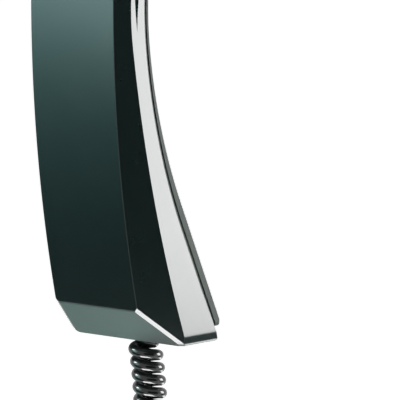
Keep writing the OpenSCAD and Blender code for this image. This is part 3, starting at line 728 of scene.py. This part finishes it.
# %% Side notches
NOTCH_TIP = -7.0
NOTCH_TOP = 56.0
NOTCH_WIDTH = 2.8
NOTCH_SHIFT = 0.55
NOTCH_TAPER = 17.0
NOTCH_FADE = 12.0
NOTCH_LEAST = 0.02
NOTCH_SECTIONS = 18
NOTCH_PROUD = 1.0


def crease_y(z):
    return face_y(z) + (half_width(z) - FACE_HALF) / FACET_SLOPE


def notch(name, side):
    rings = []
    for i in range(NOTCH_SECTIONS + 1):
        z = NOTCH_TIP + (NOTCH_TOP - NOTCH_TIP) * i / NOTCH_SECTIONS
        grown = min(1.0, (z - NOTCH_TIP) / NOTCH_TAPER, (NOTCH_TOP - z) / NOTCH_FADE)
        w = max(NOTCH_LEAST, NOTCH_WIDTH * grown)
        x = half_width(z)
        y = (crease_y(z) + rim_y(z)) / 2 + w / 2 - NOTCH_SHIFT
        outside = side * (x + NOTCH_PROUD)
        deep = side * (x - w * FACET_SLOPE)
        rings.append([(outside, y + NOTCH_PROUD / FACET_SLOPE, z), (deep, y - w, z), (outside, y - w, z)])
    return join_rings(name, rings)


for side in (-1, 1):
    cut(housing, notch("notch", side))
print("faces with the notches", len(housing.data.polygons))

# %% Cord hole
CORD_HOLE_RADIUS = 3.2
CORD_HOLE_TOP = 12.0
HOLE_SIDES = 48


def turned(name, profile, sides):
    """A lathe form about Z from pairs of radius and height."""
    rings = []
    for radius, height in profile:
        rings.append([(radius * math.cos(a), radius * math.sin(a), height) for a in angles(sides)])
    return join_rings(name, rings)


cord_hole = turned("cord hole", [(CORD_HOLE_RADIUS, -FAR), (CORD_HOLE_RADIUS, 0.0)], HOLE_SIDES)
cord_hole.data.transform(Matrix.Translation((0.0, cord_y, -HALF_LENGTH + CORD_HOLE_TOP)))
cut(housing, cord_hole)
print("faces with the cord hole", len(housing.data.polygons))


# %% Even shading, and into the frame
def smooth_faces(piece, sharp_above):
    """Shade smoothly across all edges but those that turn by more than so many degrees."""
    piece.data.shade_smooth()
    piece.data.set_sharp_from_angle(angle=math.radians(sharp_above))
    step = piece.modifiers.new("even shading", "WEIGHTED_NORMAL")
    step.keep_sharp = True
    return settle(piece)


smooth_faces(housing, sharp_above=22)
housing.data.transform(TO_FRAME)
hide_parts("outer_shell")
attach(housing, "handset")
print("housing faces", len(housing.data.polygons))

# %% [markdown]
# ## The ear side cover
# The cover is a thinner moulding with a groove all round. It follows the hollow of the grip, and its flat
# ends are the ear and mouth faces. Its side view and its front view are both simple outlines, so the plate is
# what two prisms have in common. A bevel modifier then rounds only the edges that are given a weight.

# %% Cover plate from two outlines
COVER_INSET = 1.5
COVER_THICK = 2.2
COVER_END = 101.6
COVER_RUN = 1.2
WAIST_STEPS = 4
OUTLINE_HALF = 48


def prism(name, outline, low, high, axis):
    """A flat outline drawn out along X or Y."""
    if axis == "X":
        rings = [[(d, a, b) for a, b in outline] for d in (low, high)]
    else:
        rings = [[(a, d, b) for a, b in outline] for d in (low, high)]
    return join_rings(name, rings)


def front_outline(inset, end):
    waist = WAIST_RADIUS * math.sin(FLARE)
    inner = [waist * i / WAIST_STEPS for i in range(-WAIST_STEPS, WAIST_STEPS + 1)]
    sides = [(half_width(z) - inset, z) for z in [-end] + inner + [end]]
    return sides + [(-x, z) for x, z in reversed(sides)]


def side_outline(sink, lift, end):
    heights = [end - end * k / OUTLINE_HALF for k in range(2 * OUTLINE_HALF + 1)]
    inner = [z for z in heights if abs(z) <= end - COVER_RUN]
    low = [(rim_y(z, lift), z) for z in heights]
    back = [(back_y(z, sink), z) for z in reversed(inner)]
    edge = back_y(end, sink) - COVER_RUN
    return low + [(edge, -end)] + back + [(edge, end)]


def cover_form(name, inset, sink, lift):
    end = COVER_END - (inset - COVER_INSET)
    piece = prism(name, side_outline(sink, lift, end), -FAR, FAR, "X")
    return combine(piece, prism("outline", front_outline(inset, end), -FAR, FAR, "Y"), "INTERSECT")


cover = cover_form("handset_cover", COVER_INSET, 0.0, SEAM)
print("faces of the cover plate", len(cover.data.polygons))

# %% Round its edges by their weight
CORNER_ROUND = 1.5
BACK_ROUND = 0.5
ROUND_SEGMENTS = 4
BACK_EDGE_REACH = 3.1
RIM_REACH = 0.1
SAME_PLACE = 0.03
MERGE_DISTANCE = 0.002
LEAST_EDGE_ANGLE = math.radians(10)


def edge_round(edge):
    """Round of one edge of the cover: large at the ends' corners, small near the back, none elsewhere."""
    both = [v.co for v in edge.verts]
    at_end = all(abs(abs(p.z) - COVER_END) < SAME_PLACE for p in both)
    if at_end and abs(both[0].x - both[1].x) < SAME_PLACE:
        return CORNER_ROUND
    near_back = all(p.y > back_y(p.z) - BACK_EDGE_REACH for p in both)
    if near_back and all(abs(p.y - rim_y(p.z, SEAM)) > RIM_REACH for p in both):
        return BACK_ROUND
    return 0.0


def round_edges(piece, width_of, widest):
    work = bmesh.new()
    work.from_mesh(piece.data)
    bmesh.ops.remove_doubles(work, verts=work.verts, dist=MERGE_DISTANCE)
    weight = work.edges.layers.float.new("bevel_weight_edge")
    for edge in work.edges:
        if len(edge.link_faces) == 2 and edge.calc_face_angle() > LEAST_EDGE_ANGLE:
            edge[weight] = width_of(edge) / widest
    work.to_mesh(piece.data)
    work.free()
    step = piece.modifiers.new("round", "BEVEL")
    step.limit_method = "WEIGHT"
    step.width = widest
    step.segments = ROUND_SEGMENTS
    step.use_clamp_overlap = False
    return settle(piece)


round_edges(cover, edge_round, CORNER_ROUND)
print("faces of the rounded plate", len(cover.data.polygons))

# %% Hollow, slot pocket, groove and screw bosses
HOLLOW_PAST_RIM = 1.0
SLOT_WIDTH = 14.0
SLOT_HEIGHT = 7.0
SLOT_DEPTH = 8.0
POCKET_WALL = 1.6
POCKET_SUNK = 1.0
GROOVE_FROM = 1.8
GROOVE_TO = 2.4
GROOVE_DEEP = 0.5
GROOVE_PAST_END = 1.0
SCREW_Z = 31.0
SCREW_SIZE = 2.9
HEAD_RADIUS = SCREW_SIZE * 0.95
BOSS_FROM = 5.0
BOSS_TO = 0.5


def box(name, low, high):
    outline = [(low[1], low[2]), (high[1], low[2]), (high[1], high[2]), (low[1], high[2])]
    return prism(name, outline, low[0], high[0], "X")


def rod(name, radius, z, low, high):
    """A round rod along Y at one height."""
    piece = turned(name, [(radius, low), (radius, high)], HOLE_SIDES)
    piece.data.transform(Matrix.Translation((0.0, 0.0, z)) @ Matrix.Rotation(-math.pi / 2, 4, "X"))
    return piece


def groove_tool():
    heights = [(COVER_END + GROOVE_PAST_END) * (1 - k / OUTLINE_HALF) for k in range(2 * OUTLINE_HALF + 1)]
    outline = [(rim_y(z, GROOVE_FROM), z) for z in heights]
    outline += [(rim_y(z, GROOVE_TO), z) for z in reversed(heights)]
    core = front_outline(COVER_INSET + GROOVE_DEEP, COVER_END - GROOVE_DEEP)
    return cut(prism("groove", outline, -FAR, FAR, "X"), prism("core", core, -FAR, FAR, "Y"))


cut(cover, cover_form("hollow", COVER_INSET + COVER_THICK, COVER_THICK, -HOLLOW_PAST_RIM))
pocket_x = SLOT_WIDTH / 2 + POCKET_WALL
pocket_y = SLOT_Y - SLOT_DEPTH - POCKET_WALL
pocket_low = (-pocket_x, pocket_y, SLOT_Z - SLOT_HEIGHT / 2 - POCKET_WALL)
pocket_high = (pocket_x, SLOT_Y - POCKET_SUNK, SLOT_Z + SLOT_HEIGHT / 2 + POCKET_WALL)
combine(cover, box("pocket", pocket_low, pocket_high), "UNION")
cut(cover, groove_tool())
for z in (-SCREW_Z, SCREW_Z):
    boss = rod("boss", HEAD_RADIUS + POCKET_WALL, z, back_y(z) - BOSS_FROM, back_y(z) - BOSS_TO)
    combine(cover, boss, "UNION")
print("cover faces before drilling", len(cover.data.polygons))

# %% [markdown]
# ## Ear and mouth holes
# The holes stand in rings round a middle one. A small node tree lays out the drills for both patterns,
# because a pattern that is set by a few numbers is easier to change than holes drilled one by one. Each set
# of drills is then cut from the cover in one go.


# %% A node tree that lays out a drilling pattern
def new_tree(name, inputs, output):
    """An empty geometry tree with named inputs, a finish among them, and one output."""
    tree = bpy.data.node_groups.new(name, "GeometryNodeTree")
    for label, kind in inputs + [("Finish", "Material")]:
        tree.interface.new_socket(label, in_out="INPUT", socket_type="NodeSocket" + kind)
    tree.interface.new_socket(output, in_out="OUTPUT", socket_type="NodeSocketGeometry")
    return tree, tree.nodes.new("NodeGroupInput")


def end_tree(tree, given, copies):
    """Make the copies real, give them their finish and hand them out."""
    real = tree.nodes.new("GeometryNodeRealizeInstances")
    coat = tree.nodes.new("GeometryNodeSetMaterial")
    made = tree.nodes.new("NodeGroupOutput")
    link(tree, copies, "Instances", real, "Geometry")
    link(tree, real, "Geometry", coat, "Geometry")
    link(tree, given, "Finish", coat, "Material")
    link(tree, coat, "Geometry", made, 0)
    return tree


def drilling_tree():
    inputs = [("Spacing", "Float"), ("Hole Radius", "Float"), ("Depth", "Float"), ("Second Ring", "Bool")]
    tree, given = new_tree("drilling pattern", inputs, "Drills")
    new = tree.nodes.new
    middle = new("GeometryNodePoints")
    first = new("GeometryNodeMeshCircle")
    first.inputs["Vertices"].default_value = 6
    second = new("GeometryNodeMeshCircle")
    second.inputs["Vertices"].default_value = 12
    twice = new("ShaderNodeMath")
    twice.operation = "MULTIPLY"
    twice.inputs[1].default_value = 2.0
    choose = new("GeometryNodeSwitch")
    choose.input_type = "GEOMETRY"
    places = new("GeometryNodeJoinGeometry")
    drill = new("GeometryNodeMeshCylinder")
    drill.inputs["Vertices"].default_value = 24
    copies = new("GeometryNodeInstanceOnPoints")
    link(tree, given, "Spacing", first, "Radius")
    link(tree, given, "Spacing", twice, 0)
    link(tree, twice, 0, second, "Radius")
    link(tree, given, "Second Ring", choose, "Switch")
    link(tree, second, "Mesh", choose, "True")
    for source in (middle, first, choose):
        link(tree, source, 0, places, 0)
    link(tree, given, "Hole Radius", drill, "Radius")
    link(tree, given, "Depth", drill, "Depth")
    link(tree, places, 0, copies, "Points")
    link(tree, drill, "Mesh", copies, "Instance")
    return end_tree(tree, given, copies)


drills = drilling_tree()
print("nodes in the drilling tree", len(drills.nodes))

# %% Drill the ear and mouth holes
EAR_Z = 76.0
EAR_SPACING = 4.2
EAR_HOLE = 1.0
MOUTH_Z = 77.0
MOUTH_SPACING = 2.9
MOUTH_HOLE = 0.8
DRILL_DEPTH = 9.0


def run_tree(name, tree, **values):
    """A plain mesh from a tree, whose inputs are set by identifier before it first runs."""
    piece = bpy.data.objects.new(name, bpy.data.meshes.new(name))
    scene.collection.objects.link(piece)
    step = piece.modifiers.new("nodes", "NODES")
    step.node_group = tree
    for item in tree.interface.items_tree:
        if item.in_out == "INPUT":
            step[item.identifier] = values[item.name.replace(" ", "_").lower()]
    return settle(piece)


def on_back_face(z):
    lean = -math.pi / 2 - math.copysign(BACK_ANGLE, z)
    return Matrix.Translation((0.0, back_y(z), z)) @ Matrix.Rotation(lean, 4, "X")


for name, z, spacing, radius, two_rings in (
    ("ear drills", EAR_Z, EAR_SPACING, EAR_HOLE, True),
    ("mouth drills", -MOUTH_Z, MOUTH_SPACING, MOUTH_HOLE, False),
):
    tool = run_tree(
        name,
        drills,
        spacing=spacing,
        hole_radius=radius,
        depth=DRILL_DEPTH,
        second_ring=two_rings,
        finish=finishes["cover"],
    )
    tool.data.transform(on_back_face(z))
    cut(cover, tool)
print("faces of the drilled cover", len(cover.data.polygons))

# %% Ear dish, hanging slot and screw wells
DISH_INNER = 11.0
DISH_OUTER = 17.4
DISH_HALF = 0.8
DISH_SIDES = 96
HEAD_SUNK = 2.7
WELL_CLEARANCE = 0.2
SCREW_HOLE = 1.65

dish = turned("dish", [(DISH_INNER, -DISH_HALF), (DISH_OUTER, DISH_HALF)], DISH_SIDES)
dish.data.transform(on_back_face(EAR_Z))
cut(cover, dish)
slot_low = (-SLOT_WIDTH / 2, SLOT_Y - SLOT_DEPTH, SLOT_Z - SLOT_HEIGHT / 2)
slot_high = (SLOT_WIDTH / 2, FAR, SLOT_Z + SLOT_HEIGHT / 2)
cut(cover, box("slot", slot_low, slot_high))
for z in (-SCREW_Z, SCREW_Z):
    cut(cover, rod("well", HEAD_RADIUS + WELL_CLEARANCE, z, back_y(z) - HEAD_SUNK, FAR))
    cut(cover, rod("screw hole", SCREW_HOLE, z, 0.0, FAR))
smooth_faces(cover, sharp_above=35)
cover.data.transform(TO_FRAME)
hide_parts("inner_cover")
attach(cover, "handset")
print("cover faces", len(cover.data.polygons))

# %% [markdown]
# ## Cover screws
# Two pan head screws hold the cover. One screw is turned like a lathe part and gets a cross recess; a second
# tree sets copies of it in the wells, so that both stay alike.

# %% One turned screw with a cross recess
SHANK_RADIUS = SCREW_SIZE / 2
SCREW_LENGTH = 9.0
POINT_LENGTH = 0.8
POINT_SHARE = 0.5
HEAD_HEIGHT = 1.9
HEAD_CURVE = ((0.45, 0.985), (0.75, 0.86), (0.94, 0.6), (1.0, 0.3), (1.0, 0.0))
HEAD_TOP = 0.02
SCREW_SIDES = 40
RECESS_ARM = HEAD_RADIUS * 0.62
RECESS_WEB = 0.34
RECESS_FLOOR = 0.8
RECESS_TOP = 3.0

screw_profile = [(HEAD_TOP, HEAD_HEIGHT)]
screw_profile += [(HEAD_RADIUS * across, HEAD_HEIGHT * up) for across, up in HEAD_CURVE]
screw_profile += [
    (SHANK_RADIUS, 0.0),
    (SHANK_RADIUS, -SCREW_LENGTH + POINT_LENGTH),
    (SHANK_RADIUS * POINT_SHARE, -SCREW_LENGTH),
]
screw = turned("screw", screw_profile, SCREW_SIDES)
for x, y in ((RECESS_ARM, RECESS_WEB), (RECESS_WEB, RECESS_ARM)):
    cut(screw, box("recess", (-x, -y, RECESS_FLOOR), (x, y, RECESS_TOP)))
smooth_faces(screw, sharp_above=40)
print("faces of one screw", len(screw.data.polygons))


# %% Both screws from one tree
def screw_tree():
    inputs = [("Screw", "Object"), ("First", "Vector"), ("Step", "Vector"), ("Turn", "Vector")]
    tree, given = new_tree("screw row", inputs, "Screws")
    new = tree.nodes.new
    row = new("GeometryNodeMeshLine")
    row.inputs["Count"].default_value = 2
    source = new("GeometryNodeObjectInfo")
    turn_by = new("FunctionNodeEulerToRotation")
    copies = new("GeometryNodeInstanceOnPoints")
    link(tree, given, "First", row, "Start Location")
    link(tree, given, "Step", row, "Offset")
    link(tree, given, "Screw", source, "Object")
    link(tree, given, "Turn", turn_by, 0)
    link(tree, row, "Mesh", copies, "Points")
    link(tree, source, "Geometry", copies, "Instance")
    link(tree, turn_by, 0, copies, "Rotation")
    return end_tree(tree, given, copies)


screws = run_tree(
    "handset_cover_screws",
    screw_tree(),
    screw=screw,
    first=(0.0, back_y(SCREW_Z) - HEAD_SUNK, -SCREW_Z),
    step=(0.0, 0.0, 2 * SCREW_Z),
    turn=(-math.pi / 2, 0.0, 0.0),
    finish=finishes["steel"],
)
bpy.data.objects.remove(screw)
screws.data.transform(TO_FRAME)
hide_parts("cover_screws")
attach(screws, "handset")
print("screw faces", len(screws.data.polygons))

# %% [markdown]
# ## Dressing
# The record names a finish for every solid. The four new skins take the finish of what they stand for, so
# that a changed finish changes both.


# %% Dress every piece
def paint(piece, material):
    piece.data.materials.clear()
    piece.data.materials.append(material)


for part in frame["record"]["subparts"]:
    paint(frame["nodes"][part["node"]], finishes[part["material_slot"]])
for piece, slot in ((cord, "cord"), (housing, "housing"), (cover, "cover"), (screws, "steel")):
    paint(piece, finishes[slot])

# %% [markdown]
# ## Studio
# Polished black plastic shows its surroundings more than its own colour, so the studio is built for what each
# face mirrors. The world and the floor look white but give little light, so that the plastic stays dark.


# %% World
def seen_directly(tree):
    """One for what the camera, a reflection or clear plastic sees, and none for light on a surface."""
    path = tree.nodes.new("ShaderNodeLightPath")
    total = path.outputs["Is Camera Ray"]
    for label in ("Is Glossy Ray", "Is Transmission Ray"):
        either = tree.nodes.new("ShaderNodeMath")
        either.operation = "MAXIMUM"
        tree.links.new(total, either.inputs[0])
        link(tree, path, label, either, 1)
        total = either.outputs[0]
    return total


AMBIENT = 0.18
world = bpy.data.worlds.new("studio")
scene.world = world
world.use_nodes = True
air = world.node_tree
backdrop = air.nodes["Background"]
backdrop.inputs["Color"].default_value = (1.0, 1.0, 1.0, 1.0)
brightness = air.nodes.new("ShaderNodeMapRange")
brightness.inputs["To Min"].default_value = AMBIENT
brightness.inputs["To Max"].default_value = 1.0
air.links.new(seen_directly(air), brightness.inputs["Value"])
link(air, brightness, 0, backdrop, "Strength")
print("light from the world", AMBIENT)

# %% Floor
FLOOR_Z = -0.42
FLOOR_HALF = 9.0
FLOOR_BACK = 14.0
FLOOR_GLOW = 0.81
QUAD = [(0, 1, 2, 3)]


def pale_floor():
    material = bpy.data.materials.new("pale floor")
    material.use_nodes = True
    tree = material.node_tree
    shader = tree.nodes["Principled BSDF"]
    shader.inputs["Base Color"].default_value = (0.8, 0.8, 0.8, 1.0)
    shader.inputs["Roughness"].default_value = 0.9
    shader.inputs["Emission Color"].default_value = (1.0, 1.0, 1.0, 1.0)
    glow = tree.nodes.new("ShaderNodeMath")
    glow.operation = "MULTIPLY"
    glow.inputs[1].default_value = FLOOR_GLOW
    tree.links.new(seen_directly(tree), glow.inputs[0])
    link(tree, glow, 0, shader, "Emission Strength")
    return material


floor_corners = [
    (-FLOOR_HALF, -FLOOR_HALF, FLOOR_Z),
    (FLOOR_HALF, -FLOOR_HALF, FLOOR_Z),
    (FLOOR_HALF, FLOOR_BACK, FLOOR_Z),
    (-FLOOR_HALF, FLOOR_BACK, FLOOR_Z),
]
floor = add_mesh("floor", floor_corners, QUAD)
paint(floor, pale_floor())

# %% [markdown]
# Cards are what a reflection shows. A panel at the left that fades downwards gives the outer face its sheen,
# and one behind at the right does so for the side walls. Black cards keep the facets, the lower face and the
# walls' feet dark, and a grey green one on the floor tints the slanted end. The camera sees none of them, and
# only the two panels light anything.


# %% Papers and fading light for the cards
def card_paper(name, colour, glow=(0.0, 0.0, 0.0)):
    material = bpy.data.materials.new(name)
    material.use_nodes = True
    paper = material.node_tree.nodes["Principled BSDF"]
    paper.inputs["Base Color"].default_value = (*colour, 1.0)
    paper.inputs["Roughness"].default_value = 0.9
    paper.inputs["Emission Color"].default_value = (*glow, 1.0)
    paper.inputs["Emission Strength"].default_value = 1.0
    return material


def fading_light(name, radiance, colour, full_above, fall):
    """Light that is even above a height and fades by a factor of e with each fall below it."""
    material = bpy.data.materials.new(name)
    material.use_nodes = True
    tree = material.node_tree
    place = tree.nodes.new("ShaderNodeTexCoord")
    parts = tree.nodes.new("ShaderNodeSeparateXYZ")
    link(tree, place, "Object", parts, 0)
    value = parts.outputs["Z"]
    for operation, number in (
        ("SUBTRACT", full_above),
        ("DIVIDE", fall),
        ("MINIMUM", 0.0),
        ("EXPONENT", None),
        ("MULTIPLY", radiance),
    ):
        step = tree.nodes.new("ShaderNodeMath")
        step.operation = operation
        tree.links.new(value, step.inputs[0])
        if number is not None:
            step.inputs[1].default_value = number
        value = step.outputs[0]
    light = tree.nodes["Principled BSDF"]
    light.inputs["Base Color"].default_value = (0.02, 0.02, 0.02, 1.0)
    light.inputs["Emission Color"].default_value = (*colour, 1.0)
    tree.links.new(value, light.inputs["Emission Strength"])
    return material


black = card_paper("black card", (0.012, 0.012, 0.012))
green = card_paper("grey green card", (0.5, 0.84, 0.75), glow=(0.28, 0.5, 0.44))
left_light = fading_light("graded panel", 2.0, (0.36, 1.0, 0.98), full_above=-0.1, fall=0.105)
rear_light = fading_light("rear glow", 15.6, (1.0, 1.0, 1.0), full_above=-0.228, fall=0.135)
print("papers and lights for the cards", [m.name for m in (black, green, left_light, rear_light)])

# %% Cards
MIDDLE = Vector((0.0, 0.0, -0.09))


def facing(centre, target):
    return (Vector(target) - Vector(centre)).to_track_quat("-Z", "Y").to_matrix().to_4x4()


def card(name, centre, target, width, height, material, lights=False):
    corners = [(-width, -height, 0), (width, -height, 0), (width, height, 0), (-width, height, 0)]
    place = Matrix.Translation(centre) @ facing(centre, target)
    piece = add_mesh(name, [place @ (Vector(c) / 2) for c in corners], QUAD)
    piece.visible_camera = False
    piece.visible_shadow = False
    piece.visible_diffuse = lights
    paint(piece, material)
    return piece


def flat_card(name, x, y, z, width, height, material):
    return card(name, (x, y, z), (x, y, 0.0), width, height, material)


card("left panel", (-0.51, -0.55, -0.13), (0.0, 0.0, -0.13), 0.42, 0.94, left_light, lights=True)
card("right card", (0.55, -0.25, -0.18), MIDDLE, 0.8, 0.5, black)
flat_card("rear card", 0.36, 0.5, -0.4, 0.42, 0.46, black)
flat_card("front card", -0.3, -0.44, -0.41, 0.7, 0.5, black)
flat_card("floor card", -0.26, 0.1, -0.41, 0.32, 0.26, green)
card("rear panel", (0.68, 0.76, -0.08), MIDDLE, 0.46, 0.56, rear_light, lights=True)

# %% [markdown]
# One turned softbox at the left lights the upper part of the outer face. The others only draw glints: on
# edges from above, on the end's chamfer from below, on the curls, and along the foot of the side wall.


# %% Softboxes
def softbox(name, centre, target, width, height, radiance, colour=(1.0, 1.0, 1.0), roll=0.0):
    lamp = bpy.data.lights.new(name, "AREA")
    lamp.shape = "RECTANGLE"
    lamp.size = width
    lamp.size_y = height
    lamp.energy = radiance * math.pi * width * height
    lamp.color = colour
    holder = bpy.data.objects.new(name, lamp)
    rolled = facing(centre, target) @ Matrix.Rotation(math.radians(roll), 4, "Z")
    holder.matrix_world = Matrix.Translation(centre) @ rolled
    scene.collection.objects.link(holder)
    return holder


softbox(
    "left softbox", (-0.5, -0.54, 0.22), (0.0, 0.0, 0.22), 0.9, 0.46,
    radiance=2.6, colour=(0.8, 1.0, 0.98), roll=-42.0,
)
for name, centre, target, width, height, radiance in (
    ("high softbox", (0.0, 0.0, 0.8), MIDDLE, 1.2, 1.0, 6.0),
    ("low softbox", (0.02, -0.06, -0.4), MIDDLE, 0.2, 0.2, 16.0),
    ("curl softbox", (-0.56, -0.5, 0.14), (0.0, 0.0, -0.17), 0.24, 0.4, 22.0),
    ("foot softbox", (0.02, 0.34, -0.41), (0.02, 0.34, 0.0), 0.3, 0.16, 4.0),
):
    glint = softbox(name, centre, target, width, height, radiance)
    glint.visible_diffuse = False
